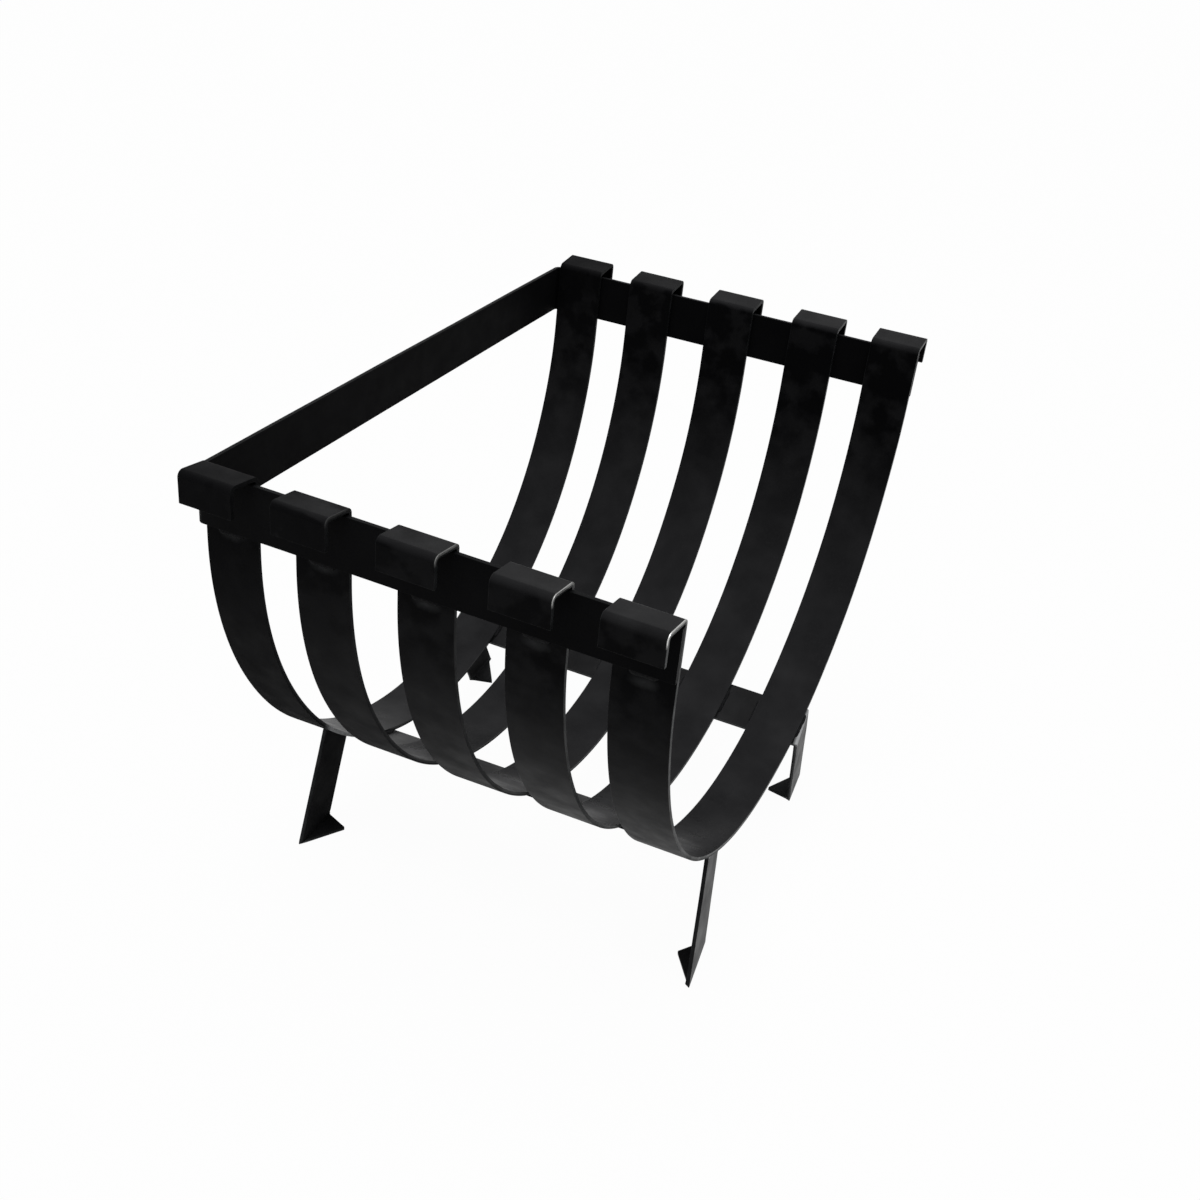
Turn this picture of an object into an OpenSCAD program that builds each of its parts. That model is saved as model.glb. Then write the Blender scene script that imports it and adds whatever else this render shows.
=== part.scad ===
// Log holder welded from flat bar: five straps bent to a cradle hang inside a three-sided top frame,
// and two bars bent to splayed legs carry them.
// X runs along the rails, Y from the front rail to the rear rail and Z up, in millimetres.
// The origin is on the ground under the middle of the whole piece.

/* [Flat bar] */
// Thickness of all the flat bar
bar_t = 3; // [2:0.5:4]
// Width of the bar that the straps are bent from
strap_w = 40; // [34:1:44]
// Width of the bar that the leg frames are bent from
leg_w = 37; // [30:1:42]
// Height of the top frame's bar, which stands on edge
rail_h = 38; // [30:1:40]
// Inside radius of a sharp bend
bend_r = 1.5; // [1:0.5:2]

/* [Cradle] */
// Distance between the inner faces of a strap's upright ends
span = 480; // [476:2:500]
// Height of a strap's inner face above the ground at its lowest point
floor_z = 78; // [70:1:100]
// Height of the hooks' top faces at the inner bend
top_z = 383; // [374:1:400]
// Inside radius of the bottom of each strap
belly_r = 234; // [220:2:236]
// Distance between the centres of the three middle straps
inner_pitch = 75; // [68:1:85]
// Distance from an end strap's centre to its neighbour's
outer_pitch = 69; // [60:1:75]

/* [Hooks] */
// Depth of a hook from the strap's inner face to the flap's outer face
hook_depth = 27; // [20:1:32]
// Drop from a hook's top at the inner bend to the flap's lower edge
flap_h = 19; // [14:1:26]
// Angle at which a hook's top rises towards its flap
hook_rise = 7; // [0:1:10]

/* [Top frame] */
// Gap between the left strap's edge and the side bar
side_gap = 3; // [3:0.5:6]
// Inside radius of the frame's two corners
corner_r = 2.5; // [1.5:0.5:3]

/* [Leg frames] */
// Angle between a leg and the upright
splay = 23.5; // [16:0.5:28]
// Distance from an end strap's edge to a leg's outer face
leg_out = 3; // [2:0.5:6]
// Reach of a foot from the leg's outer face
foot_in = 22; // [12:1:26]
// Place of a foot's tip along its fold, as a share of the fold from the leg's outer edge
foot_tip = 0.8; // [0.5:0.01:0.9]
// Distance from each edge of a leg to where its foot starts
foot_relief = 2; // [1:0.5:4]

/* [Welds] */
// Height of a weld under a rail
rail_weld_h = 5; // [3:0.5:6]
// Length of a weld under a rail
rail_weld_l = 19; // [12:1:30]
// Leg length of a weld beside a strap
side_weld = 2.5; // [1.5:0.5:2.5]
// Length of a weld beside a strap
side_weld_l = 24; // [12:1:30]

/* [Hidden] */
$fn = 96;
steel = "#1f2022";
bead = "#3a3b3d";
strap_count = 5;
// Sine and cosine of the slope where the belly arc runs into a side arc, from a 3-4-5 triangle
join_s = 0.8;
join_c = 0.6;
side_r = (span / 2 - belly_r * join_s) / (1 - join_s);
belly_z = floor_z + belly_r;
upright_z = belly_z + (side_r - belly_r) * join_c;
side_y = (side_r - belly_r) * join_s;
// Facets in a sharp bend of a hook
bend_steps = 8;
rail_top = top_z - bar_t - bend_r;
rail_low = rail_top - rail_h;
rail_y = span / 2 + bar_t;
half_straps = inner_pitch + outer_pitch + strap_w / 2;
// The side bar makes the left end longer, so the straps' middle lies off the origin
frame_left = half_straps + side_gap + bar_t;
legs_half = half_straps + leg_out;
mid_x = (frame_left - legs_half) / 2;
// Clearance that keeps the flat leg bar and the round strap from cutting into each other
touch = 0.05;
seat_r = belly_r + bar_t + touch;
leg_long = 140;
// Where a leg's middle and its two edges meet the ground
ground_y = belly_z * tan(splay);
ground_half = leg_w / 2 / cos(splay);
far = 1000;

// Middle of a strap along the rails
function strap_x(i) =
    let (from_middle = abs(i - 3))
    mid_x + sign(i - 3) * (from_middle == 2 ? inner_pitch + outer_pitch : from_middle * inner_pitch);

// Points of an arc in a sharp bend
function arc(centre, r, from, to) =
    [for (k = [0:bend_steps]) let (a = from + (to - from) * k / bend_steps) centre + r * [cos(a), sin(a)]];

// Cross-section of a bar bent round with this inside radius, as a full ring
module ring(r) {
    difference() {
        circle(r = r + bar_t);
        circle(r = r);
    }
}

// Bottom of a strap between the two joins, in Y and Z
module belly() {
    translate([0, belly_z])
        intersection() {
            ring(belly_r);
            polygon([[0, 0], far * [-join_s, -join_c], [0, -far], far * [join_s, -join_c]]);
        }
}

// Rear side arc of a strap, from the join up to where it becomes upright
module side_arc() {
    translate([-side_y, upright_z])
        intersection() {
            ring(side_r);
            polygon([[0, 0], far * [join_s, -join_c], [far, 0]]);
        }
}

// Rear upright end of a strap with its hook, bent out over the rail and down again
module hooked_end() {
    outer_r = bend_r + bar_t;
    drop = outer_r / cos(hook_rise);
    first = [span / 2 + outer_r, top_z + outer_r * tan(hook_rise) - drop];
    run = hook_depth - 2 * outer_r;
    second = first + [run, run * tan(hook_rise)];
    lean = 90 + hook_rise;
    flap_y = span / 2 + hook_depth;
    flap_z = top_z - flap_h;
    polygon(concat(
        [[rail_y, upright_z]],
        arc(first, bend_r, 180, lean),
        arc(second, bend_r, lean, 0),
        [[flap_y - bar_t, flap_z], [flap_y, flap_z]],
        arc(second, outer_r, 0, lean),
        arc(first, outer_r, lean, 180),
        [[span / 2, upright_z]]
    ));
}

// Strap with its number from the closed end
module strap(i) {
    color(steel)
        translate([strap_x(i) - strap_w / 2, 0, 0])
            rotate([90, 0, 90])
                linear_extrude(strap_w) {
                    belly();
                    for (side = [0, 1])
                        mirror([side, 0]) {
                            side_arc();
                            hooked_end();
                        }
                }
}

// Corner of the top frame in plan, with its inner arc centred on the origin
module frame_corner() {
    intersection() {
        ring(corner_r);
        translate([-far, 0]) square(far);
    }
}

// Front rail, side bar and rear rail, bent from one bar
module top_frame() {
    inner_x = mid_x - half_straps - side_gap;
    bend_x = inner_x + corner_r;
    bend_y = rail_y - corner_r;
    color(steel)
        translate([0, 0, rail_low])
            linear_extrude(rail_h) {
                for (side = [0, 1])
                    mirror([0, side]) {
                        translate([bend_x, rail_y]) square([mid_x + half_straps - bend_x, bar_t]);
                        translate([bend_x, bend_y]) frame_corner();
                    }
                translate([inner_x - bar_t, -bend_y]) square([bar_t, 2 * bend_y]);
            }
}

// Puts a shape on the rear seat of the straps: X along the rails, Y along the bar's width, Z down the leg
module on_seat() {
    translate([mid_x, 0, belly_z])
        rotate([splay, 0, 0])
            mirror([0, 0, 1])
                translate([0, 0, seat_r])
                    children();
}

// Front and rear pieces are alike, and the front one is a mirror image
module facing(front) {
    mirror([0, front ? 1 : 0, 0]) children();
}

// Leg bar before its ends are cut, in X and in depth below the straps
module leg_bar_outline() {
    bend_x = legs_half - bar_t - bend_r;
    translate([-bend_x, 0]) square([2 * bend_x, bar_t]);
    for (side = [0, 1])
        mirror([side, 0]) {
            translate([bend_x, bend_r + bar_t])
                intersection() {
                    ring(bend_r);
                    translate([0, -far]) square(far);
                }
            translate([legs_half - bar_t, bend_r + bar_t]) square([bar_t, leg_long]);
        }
}

// Foot in plan at the right-hand rear leg, folded in under the basket
module foot_outline() {
    outer_y = ground_y + ground_half - foot_relief;
    inner_y = ground_y - ground_half + foot_relief;
    root_x = legs_half - bar_t / 2;
    wall_x = legs_half - bar_t;
    tip_y = outer_y + (inner_y - outer_y) * foot_tip;
    polygon([
        [root_x, outer_y], [wall_x, outer_y], [legs_half - foot_in, tip_y],
        [wall_x, inner_y], [root_x, inner_y]
    ]);
}

// Bar under the straps with a leg and a foot at each end
module leg_frame(front) {
    color(steel)
        facing(front)
            difference() {
                union() {
                    on_seat()
                        translate([0, leg_w / 2, 0])
                            rotate([90, 0, 0])
                                linear_extrude(leg_w) leg_bar_outline();
                    translate([mid_x, 0, -bar_t])
                        linear_extrude(2 * bar_t)
                            for (side = [0, 1])
                                mirror([side, 0]) foot_outline();
                }
                translate([-far / 2, -far / 2, -far]) cube([far, far, far]);
            }
}

// Round-faced weld between two square faces that meet at the origin
module bead_outline(a, b) {
    chord = norm([a, b]);
    r = chord;
    back = sqrt(r * r - chord * chord / 4);
    centre = [a / 2, b / 2] - back / chord * [b, a];
    intersection() {
        square([a, b]);
        translate(centre) circle(r = r);
    }
}

// Welds under a rail, one outside each strap
module rail_welds(front) {
    color(bead)
        facing(front)
            for (i = [1:strap_count])
                translate([strap_x(i) - rail_weld_l / 2, rail_y, rail_low])
                    rotate([90, 0, 90])
                        linear_extrude(rail_weld_l)
                            mirror([0, 1]) bead_outline(bar_t, rail_weld_h);
}

// Welds on a leg frame, one at each edge of each strap
module leg_welds(front) {
    color(bead)
        facing(front)
            on_seat()
                for (i = [1:strap_count], side = [-1, 1])
                    translate([strap_x(i) - mid_x + side * strap_w / 2, side_weld_l / 2, 0])
                        rotate([90, 0, 0])
                            linear_extrude(side_weld_l)
                                mirror([side < 0 ? 1 : 0, 0])
                                    mirror([0, 1]) bead_outline(side_weld, side_weld);
}

strap(1);  // strap_1
strap(2);  // strap_2
strap(3);  // strap_3
strap(4);  // strap_4
strap(5);  // strap_5
top_frame();
leg_frame(true);  // front_leg_frame
leg_frame(false);  // rear_leg_frame
rail_welds(true);  // front_rail_welds
rail_welds(false);  // rear_rail_welds
leg_welds(true);  // front_leg_welds
leg_welds(false);  // rear_leg_welds
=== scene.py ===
"""Looks of a log holder bent and welded from flat bar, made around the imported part, in metres."""

import math
from typing import NamedTuple

import bmesh
import bpy
from bpy.props import FloatProperty, FloatVectorProperty, IntProperty, PointerProperty
from mathutils import Matrix, Vector, noise


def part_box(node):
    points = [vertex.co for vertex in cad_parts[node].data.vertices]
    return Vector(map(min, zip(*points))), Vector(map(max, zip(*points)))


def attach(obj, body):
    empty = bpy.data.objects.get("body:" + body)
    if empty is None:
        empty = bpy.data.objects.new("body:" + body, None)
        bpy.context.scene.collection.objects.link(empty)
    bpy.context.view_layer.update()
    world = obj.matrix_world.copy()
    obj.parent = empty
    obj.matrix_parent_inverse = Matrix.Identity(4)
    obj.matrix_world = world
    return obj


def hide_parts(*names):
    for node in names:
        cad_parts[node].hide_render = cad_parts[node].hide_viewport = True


bl_info = {
    "name": "Log holder",
    "version": (1, 0, 0),
    "blender": (4, 5, 0),
    "location": "3D View > Sidebar > Log holder",
    "description": "Bends the bars of a log holder, welds and paints them and sets the stage",
    "category": "Object",
}

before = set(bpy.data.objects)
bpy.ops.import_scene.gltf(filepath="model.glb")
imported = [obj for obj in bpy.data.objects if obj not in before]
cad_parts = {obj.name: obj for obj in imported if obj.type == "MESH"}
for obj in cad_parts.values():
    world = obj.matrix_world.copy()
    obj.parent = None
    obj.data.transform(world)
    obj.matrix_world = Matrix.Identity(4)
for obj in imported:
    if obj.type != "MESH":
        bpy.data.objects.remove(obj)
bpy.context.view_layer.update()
STRAPS = [f"strap_{k}" for k in range(1, 6)]
ENDS = ["front", "rear"]
MM = 0.001

# How finely the bars and beads are divided
ARRIS_STEPS, LEAST_ARC_STEPS = 3, 10
STRAP_STEP, RAIL_STEP = 3 * MM, 6 * MM
BAR_STEPS, LEG_STEPS, FOLD_STEPS, FOOT_STEPS = 36, 16, 6, 8
RIPPLE_STEPS, BEAD_SIDES = 7, 14
BEAD_SHARE = 0.8  # radius of a bead before it swells, as a share of its leg

# Distances from the middle to the ends and to the rails, and the height above which the belly ends
HALF_LENGTH, HALF_DEPTH, BELLY_TOP = 144 * MM, 240 * MM, 70 * MM
# A leg frame's bar is firm up to this distance from its middle, and then gives way to the bend of its leg
FIRM, GIVING = 128 * MM, 32 * MM
FOLD_ROOM = 0.5 * MM  # straight bar beside a fold
TIP = 0.02  # share of the bar's width that is left at a foot's tip

# What a vertex of a leg frame belongs to, as the attribute that its finish reads
BAR, BEND, LEG = (0, 0, 0), (0, 1, 0), (1, 0, 0)


class Leg(NamedTuple):
    """How one leg came out of the bending, in millimetres and degrees."""

    top_aside: float  # shift of the leg's top to the right
    foot_aside: float  # shift of its foot to the right
    foot_back: float  # shift of its foot to the rear
    turn: float  # turn of its bar to the left, seen from above
    rise: float  # height at which the fold of its foot ends
    tip_place: float  # place of the foot's tip along the fold, from the outer end
    further: float  # how much further than the others the foot reaches
    slide: float  # how far down the belly the leg's top lies


LEGS = {
    "front_left": Leg(-2.6, 0, 2.5, 2.1, 2.6, 0.82, 0.1, 0),
    "front_right": Leg(-6.7, 3.9, 14.4, 6.2, 7.5, 0.77, -3.9, 0),
    "rear_left": Leg(0, -0.5, 6, 2.7, 0, 0.86, -1.4, 0),
    "rear_right": Leg(-0.1, -3.8, -8.2, 6, 0, 0.83, -0.6, 7),
}


def linear(hex_colour):
    """Linear RGBA of an sRGB colour written as a hex string."""
    parts = [int(hex_colour[i:i + 2], 16) / 255 for i in (1, 3, 5)]
    return [c / 12.92 if c <= 0.04045 else ((c + 0.055) / 1.055) ** 2.4 for c in parts] + [1.0]


def length(name, description, default):
    return FloatProperty(name=name, description=description, default=default, unit="LENGTH", precision=5)


def angle(name, description, degrees):
    default = math.radians(degrees)
    return FloatProperty(name=name, description=description, default=default, subtype="ANGLE")


def colour(name, description, hex_colour):
    default = linear(hex_colour)
    return FloatVectorProperty(name=name, description=description, default=default, size=4, subtype="COLOR")


class LogHolderBars(bpy.types.PropertyGroup):
    """Sizes of the bars that the frame's boxes don't tell."""

    thickness: length("Thickness", "Thickness of all the flat bar", 3 * MM)
    arris: length("Arris", "Rounding along the rolled edges of the bar", 0.2 * MM)
    bend: length("Sharp bend", "Inside radius of a sharp bend", 1.5 * MM)
    corner: length("Frame corner", "Inside radius of the top frame's corners", 2.5 * MM)
    belly: length("Belly", "Inside radius of the bottom of each strap", 234 * MM)
    belly_join: angle("Belly join", "Angle below the level at which the belly runs into a side", 36.8699)
    hook_rise: angle("Hook rise", "Angle at which a hook's top rises towards its flap", 7)
    flap_drop: length("Flap drop", "Drop from a hook's top at the inner bend to the flap's edge", 19 * MM)
    leg_width: length("Leg bar", "Width of the bar that the leg frames are bent from", 37 * MM)
    splay: angle("Splay", "Angle between a leg and the upright", 23.5)
    foot_reach: length("Foot", "Reach of a foot from the leg's outer face", 22 * MM)
    fold: length("Fold", "Inside radius of a hammered fold of a leg bar", 0.5 * MM)
    fold_out: length("Fold's outside", "Outside radius of a hammered fold of a leg bar", 0.8 * MM)


class LogHolderHand(bpy.types.PropertyGroup):
    """How far hand bending and welding left the pieces from true."""

    twist: length("Twist", "Shift of the belly's right end to the rear, and left end forwards", 5.9 * MM)
    lift: length("Lift", "Rise of the belly at the right end, and drop at the left end", 3.5 * MM)
    lean: length("Lean", "Shift of the belly and feet to the left", -2.3 * MM)
    pinch: length("Pinch", "Spread of the belly and feet to both ends", -1.2 * MM)
    fan: length("Fan", "Spread of the straps at the rear, and gathering at the front", 1.0 * MM)
    yaw: length("Yaw", "Shift of the right end's top to the rear", -1.2 * MM)
    taper: length("Taper", "Drop of the right end's top", -2.3 * MM)
    tilt: length("Tilt", "Rise of the rear rail", 1.2 * MM)
    waver: length("Waver", "Slow wandering of all the bars", 0.3 * MM)
    waver_size: length("Waver length", "Distance over which the bars wander", 90 * MM)
    seed: IntProperty(name="Seed", description="Seed of the wandering", default=4)


class LogHolderWelds(bpy.types.PropertyGroup):
    """Sizes of the weld beads."""

    rail_length: length("Rail weld", "Length of a weld under a rail", 19 * MM)
    rail_height: length("Rail weld height", "Height of a weld under a rail", 5 * MM)
    side_length: length("Side weld", "Length of a weld beside a strap", 24 * MM)
    side_leg: length("Side weld leg", "Leg length of a weld beside a strap", 2.5 * MM)
    ripple: length("Ripple", "Distance from one ripple of a bead to the next", 1.7 * MM)


class LogHolderPaint(bpy.types.PropertyGroup):
    """Colours of the finishes."""

    paint: colour("Paint", "Heat-resistant black paint", "#1b1b1c")
    # Also the colour of the painted shade towards the straps' left end
    thick: colour("Thick paint", "Paint where coats overlap", "#0b0b0c")
    thin: colour("Thin paint", "Paint where the coat is thin or rubbed", "#242425")
    matt: colour("Matt paint", "Paint on the top frame", "#0e0e0f")
    # Painted highlight under a rail weld
    weld_highlight: colour("Weld mark", "Paint scorched beside a rail weld", "#404142")
    # Lighter grey on the rear feet near the ground
    rear_feet_grey: colour("Ash", "Ash on the rear feet", "#404142")
    # Rubbed paint, lightened to also give the narrow sides a painted highlight
    worn_and_highlit: colour("Worn edge", "Rubbed paint on the bar's narrow sides", "#2c2d2e")
    # Grey of the painted highlights along the legs' top bends and on the first strap's narrow sides
    highlight_grey: colour("Cracked paint", "Rubbed paint at a bend or a worn side", "#949596")
    # Bright metal of the painted highlight along the front hooks' upper right edges
    highlight_steel: colour("Bare steel", "Steel where the paint is chipped off the hooks' edges", "#d2d2d0")
    sheen: colour("Sheen", "Gloss seen straight on, which stays full at a low angle", "#484848")
    weld: colour("Weld", "Paint over a weld bead", "#101011")


class LogHolderStage(bpy.types.PropertyGroup):
    """Camera, lamps and floor."""

    camera: FloatVectorProperty(name="Camera", description="Place of the camera", size=3,
                                default=(0.35605, -0.82888, 0.77101), subtype="TRANSLATION")
    azimuth: angle("Azimuth", "Turn of the camera to the left of straight ahead", 22.5479)
    elevation: angle("Elevation", "Angle at which the camera looks down", 31.8005)
    roll: angle("Roll", "Turn of the camera about its own axis", 6.5659)
    focal: length("Focal length", "Focal length on a sensor 36 mm wide", 40.6805 * MM)
    floor: colour("Floor", "Pale floor under its even glow", "#c0c0c0")


def settings(group):
    """One group of the add-on's settings."""
    return getattr(bpy.context.scene, "log_holder_" + group)


def add_node(tree, kind, inputs=None, **options):
    """Adds a node with its options. An input is linked to a socket or set to a value."""
    node = tree.nodes.new(kind)
    for name, value in options.items():
        setattr(node, name, value)
    for key, value in (inputs or {}).items():
        if isinstance(value, bpy.types.NodeSocket):
            tree.links.new(value, node.inputs[key])
        else:
            node.inputs[key].default_value = value
    return node


def output(tree, kind, inputs=None, **options):
    """First output of a new node."""
    return add_node(tree, kind, inputs, **options).outputs[0]


def math_node(tree, operation, *values):
    """Output of a math node on these sockets or numbers."""
    return output(tree, "ShaderNodeMath", dict(enumerate(values)), operation=operation)


def product(tree, first, *others):
    """Product of these sockets or numbers."""
    for other in others:
        first = math_node(tree, "MULTIPLY", first, other)
    return first


def plus(tree, base, value, share):
    """This base with a share of a value added."""
    return math_node(tree, "MULTIPLY_ADD", value, share, base)


def vector_math(tree, operation, *values):
    """Vector output of a vector math node."""
    return output(tree, "ShaderNodeVectorMath", dict(enumerate(values)), operation=operation)


# Shapes

def bend_line(corners, radii, step):
    """Points along a bar's centre line, bent at each inner corner to the given radius."""
    points = [corners[0]]

    def run_to(end):
        start = points[-1]
        count = max(1, math.ceil((end - start).length / step))
        points.extend(start.lerp(end, k / count) for k in range(1, count + 1))

    for before, corner, after, radius in zip(corners, corners[1:], corners[2:], radii):
        into, out = (corner - before).normalized(), (after - corner).normalized()
        turn = into.angle(out)
        tangent = radius * math.tan(turn / 2)
        run_to(corner - into * tangent)
        centre = points[-1] + (out - into * into.dot(out)).normalized() * radius
        axis = into.cross(out).normalized()
        arm = points[-1] - centre
        count = max(LEAST_ARC_STEPS, math.ceil(radius * turn / step))
        points.extend(centre + Matrix.Rotation(turn * k / count, 3, axis) @ arm for k in range(1, count + 1))
    run_to(corners[-1])
    return points


def line_mesh(name, lines):
    """Mesh of loose edges, one chain for each list of points."""
    mesh = bpy.data.meshes.new(name)
    vertices, edges = [], []
    for points in lines:
        first = len(vertices)
        vertices += points
        edges += [(k, k + 1) for k in range(first, first + len(points) - 1)]
    mesh.from_pydata(vertices, edges, [])
    return mesh


def group_tree(name, inputs):
    """New Geometry Nodes tree with a geometry input and these named inputs."""
    tree = bpy.data.node_groups.new(name, "GeometryNodeTree")
    face = tree.interface
    face.new_socket("Geometry", in_out="INPUT", socket_type="NodeSocketGeometry")
    face.new_socket("Geometry", in_out="OUTPUT", socket_type="NodeSocketGeometry")
    for label, kind in inputs:
        face.new_socket(label, in_out="INPUT", socket_type="NodeSocket" + kind)
    return tree, tree.nodes.new("NodeGroupInput").outputs


def curve_along(tree, geometry, direction):
    """Curve along a line mesh, with its section's first side in this direction."""
    line = output(tree, "GeometryNodeMeshToCurve", {0: geometry})
    return output(tree, "GeometryNodeSetCurveNormal", {0: line, "Normal": direction}, mode="FREE")


def end_tree(tree, geometry, material):
    """Ends a tree in realized instances, smooth faces and a material."""
    whole = output(tree, "GeometryNodeRealizeInstances", {0: geometry})
    smooth = output(tree, "GeometryNodeSetShadeSmooth", {0: whole})
    dressed = output(tree, "GeometryNodeSetMaterial", {0: smooth, "Material": material})
    add_node(tree, "NodeGroupOutput", {0: dressed})
    return tree


def flat_bar_tree():
    """Sweeps a flat bar with rounded edges along its bend line."""
    tree, given = group_tree("Bent flat bar", [
        ("Width", "Float"), ("Thickness", "Float"), ("Arris", "Float"), ("Width Direction", "Vector"),
        ("Material", "Material"),
    ])
    line = curve_along(tree, given["Geometry"], given["Width Direction"])
    run = tree.nodes.new("GeometryNodeSplineParameter").outputs["Length"]
    measured = output(tree, "GeometryNodeStoreNamedAttribute", {0: line, "Name": "along", "Value": run},
                      data_type="FLOAT", domain="POINT")
    section = output(tree, "GeometryNodeCurvePrimitiveQuadrilateral",
                     {"Width": given["Width"], "Height": given["Thickness"]})
    marked = output(tree, "GeometryNodeFilletCurve",
                    {0: section, "Count": ARRIS_STEPS, "Radius": given["Arris"], "Limit Radius": True},
                    mode="POLY")
    place = output(tree, "GeometryNodeInputPosition")
    size = output(tree, "ShaderNodeCombineXYZ", {0: given["Width"], 1: given["Thickness"]})
    half = vector_math(tree, "MULTIPLY", size, (0.5, 0.5, 0.5))
    for name, value in (("across", place), ("half_section", half)):
        marked = output(tree, "GeometryNodeStoreNamedAttribute", {0: marked, "Name": name, "Value": value},
                        data_type="FLOAT_VECTOR", domain="POINT")
    bar = output(tree, "GeometryNodeCurveToMesh", {0: measured, "Profile Curve": marked, "Fill Caps": True})
    return end_tree(tree, bar, given["Material"])


def evaluate(mesh, tree, values):
    """Plain mesh that a Geometry Nodes tree makes from this one with these input values."""
    maker = bpy.data.objects.new("maker", mesh)
    bpy.context.scene.collection.objects.link(maker)
    modifier = maker.modifiers.new("Maker", "NODES")
    modifier.node_group = tree
    for item in tree.interface.items_tree:
        if item.in_out == "INPUT" and item.name in values:
            modifier[item.identifier] = values[item.name]
    depsgraph = bpy.context.evaluated_depsgraph_get()
    made = bpy.data.meshes.new_from_object(
        maker.evaluated_get(depsgraph), preserve_all_data_layers=True, depsgraph=depsgraph)
    bpy.data.objects.remove(maker)
    if not made.polygons:
        raise RuntimeError(f"{tree.name} made no faces")
    return made


def clean(mesh, arris=0):
    """Turns the faces outwards, and rounds the sawn ends of a bar if an arris is given."""
    work = bmesh.new()
    work.from_mesh(mesh)
    caps = [face for face in work.faces if len(face.verts) > 4]
    if caps and arris:
        rims = list(dict.fromkeys(edge for face in caps for edge in face.edges))
        bmesh.ops.bevel(work, geom=rims, offset=arris, segments=2, affect="EDGES", profile=0.5)
    if work.calc_volume(signed=True) < 0:
        bmesh.ops.reverse_faces(work, faces=work.faces[:])
    work.to_mesh(mesh)
    work.free()


def held(value):
    """Value held between 0 and 1."""
    return min(max(value, 0), 1)


def facing(end):
    """Factors that turn a place at the rear into the one at this end."""
    return Vector((1, -1 if end == "front" else 1, 1))


def make_uneven(mesh, on_legs):
    """Shifts a mesh as hand bending left it, by its place alone, so that pieces that touch shift together."""
    hand = settings("hand")
    size = shared_sizes()
    # Without a seed the noise would differ from run to run
    noise.seed_set(hand.seed)
    leg_top = leg_seat()
    for vertex in mesh.vertices:
        x, y, z = vertex.co
        top = held((z - BELLY_TOP) / (size["hook_top"] - BELLY_TOP))
        low = 1 - top
        right, rear = x / HALF_LENGTH, y / HALF_DEPTH
        # Nothing rises or wanders at the ground, so that the feet stay flat
        grip = held(z / size["floor"])
        shift = Vector((
            -hand.lean * low + hand.fan * right * rear + hand.pinch * right * low,
            hand.twist * right * low + hand.yaw * right * top,
            hand.lift * right * low * grip - hand.taper * right * top + hand.tilt * rear * top,
        ))
        if on_legs:
            shift += leg_shift(vertex.co, size, leg_top)
        wander = noise.noise_vector(vertex.co / hand.waver_size)
        vertex.co += shift + wander * hand.waver * grip


def slide_at(end, x, size):
    """How far down the belly the bar of a leg frame lies at this place along it."""
    left, right = LEGS[end + "_left"].slide, LEGS[end + "_right"].slide
    return (left + (right - left) * ((x - size["mid_x"]) / size["legs_half"] + 1) / 2) * MM


def leg_shift(place, size, leg_top):
    """Shift and turn of the nearest leg, which its end of the bar takes up under the last strap."""
    bars = settings("bars")
    left = place.x < size["mid_x"]
    end = "front" if place.y < 0 else "rear"
    leg = LEGS[end + ("_left" if left else "_right")]
    down, across, seat = leg_top
    to_end = facing(end)
    offset = Vector((0, place.y * to_end.y, place.z)) - seat
    depth = offset.dot(down) - bars.thickness
    ground = (seat.z + offset.dot(across) * across.z) / -down.z - bars.thickness
    share = held(depth / ground)
    # All that lies clearly below the bar shifts in full, and the bar itself only near the bend
    if depth > 0.1 * bars.thickness:
        near = 1
    else:
        near = held((abs(place.x - size["mid_x"]) - FIRM) / GIVING)
        near = near * near * (3 - 2 * near)
    wall = size["mid_x"] + size["legs_half"] * (-1 if left else 1)
    centre = Vector((wall, (seat.y + (size["foot_y"] - seat.y) * share) * to_end.y))
    arm = place.to_2d() - centre
    turned = Matrix.Rotation(math.radians(leg.turn), 2) @ arm - arm
    aside = leg.top_aside + (leg.foot_aside - leg.top_aside) * share
    slide = across * to_end * slide_at(end, place.x, size) * (share - 1)
    return (Vector((*turned, 0)) + Vector((aside, leg.foot_back * share, 0)) * MM) * near + slide


def add_piece(name, mesh, node):
    """Puts a finished mesh in the scene in place of a CAD node."""
    make_uneven(mesh, "leg_frame" in node)
    mesh.name = name
    piece = bpy.data.objects.new(name, mesh)
    bpy.context.scene.collection.objects.link(piece)
    shading = piece.modifiers.new("Even shading", "WEIGHTED_NORMAL")
    shading.keep_sharp = True
    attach(piece, "root")
    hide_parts(node)
    return piece


# Finishes

class Style(NamedTuple):
    """What tells the paint of one kind of bar from the others."""

    name: str
    tones: tuple  # its colour where the coat is full, and where it is thin
    specular: float  # its specular level
    smooth: float  # its lowest roughness
    side_wear_and_highlight: float  # how far its narrow sides are rubbed and lightened as a painted highlight


STYLES = {
    "strap": Style("Satin black stove paint on bent strap", ("paint", "thin"), 0.03, 0.32, 1.0),
    "frame": Style("Matt black stove paint on frame bar", ("thick", "matt"), 0.03, 0.4, 0.1),
    "leg": Style("Smooth black stove paint on leg bar", ("matt", "paint"), 0.16, 0.4, 0.7),
}

# How strongly marks of making and use, painted shade and painted highlights show on the paint, as shares of a
# colour or steps of roughness
LEFT_SHADE, WELD_HIGHLIGHT, BEND_HIGHLIGHT, REAR_FEET_GREY = 0.95, 0.6, 0.9, 0.6
LEFT_DULL, UNDER_DULL, BOTH_DULL, DUST, POLISH, BAR_POLISH, RUB = 0.22, 0.14, 0.2, 0.45, -0.1, -0.14, -0.1
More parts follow.
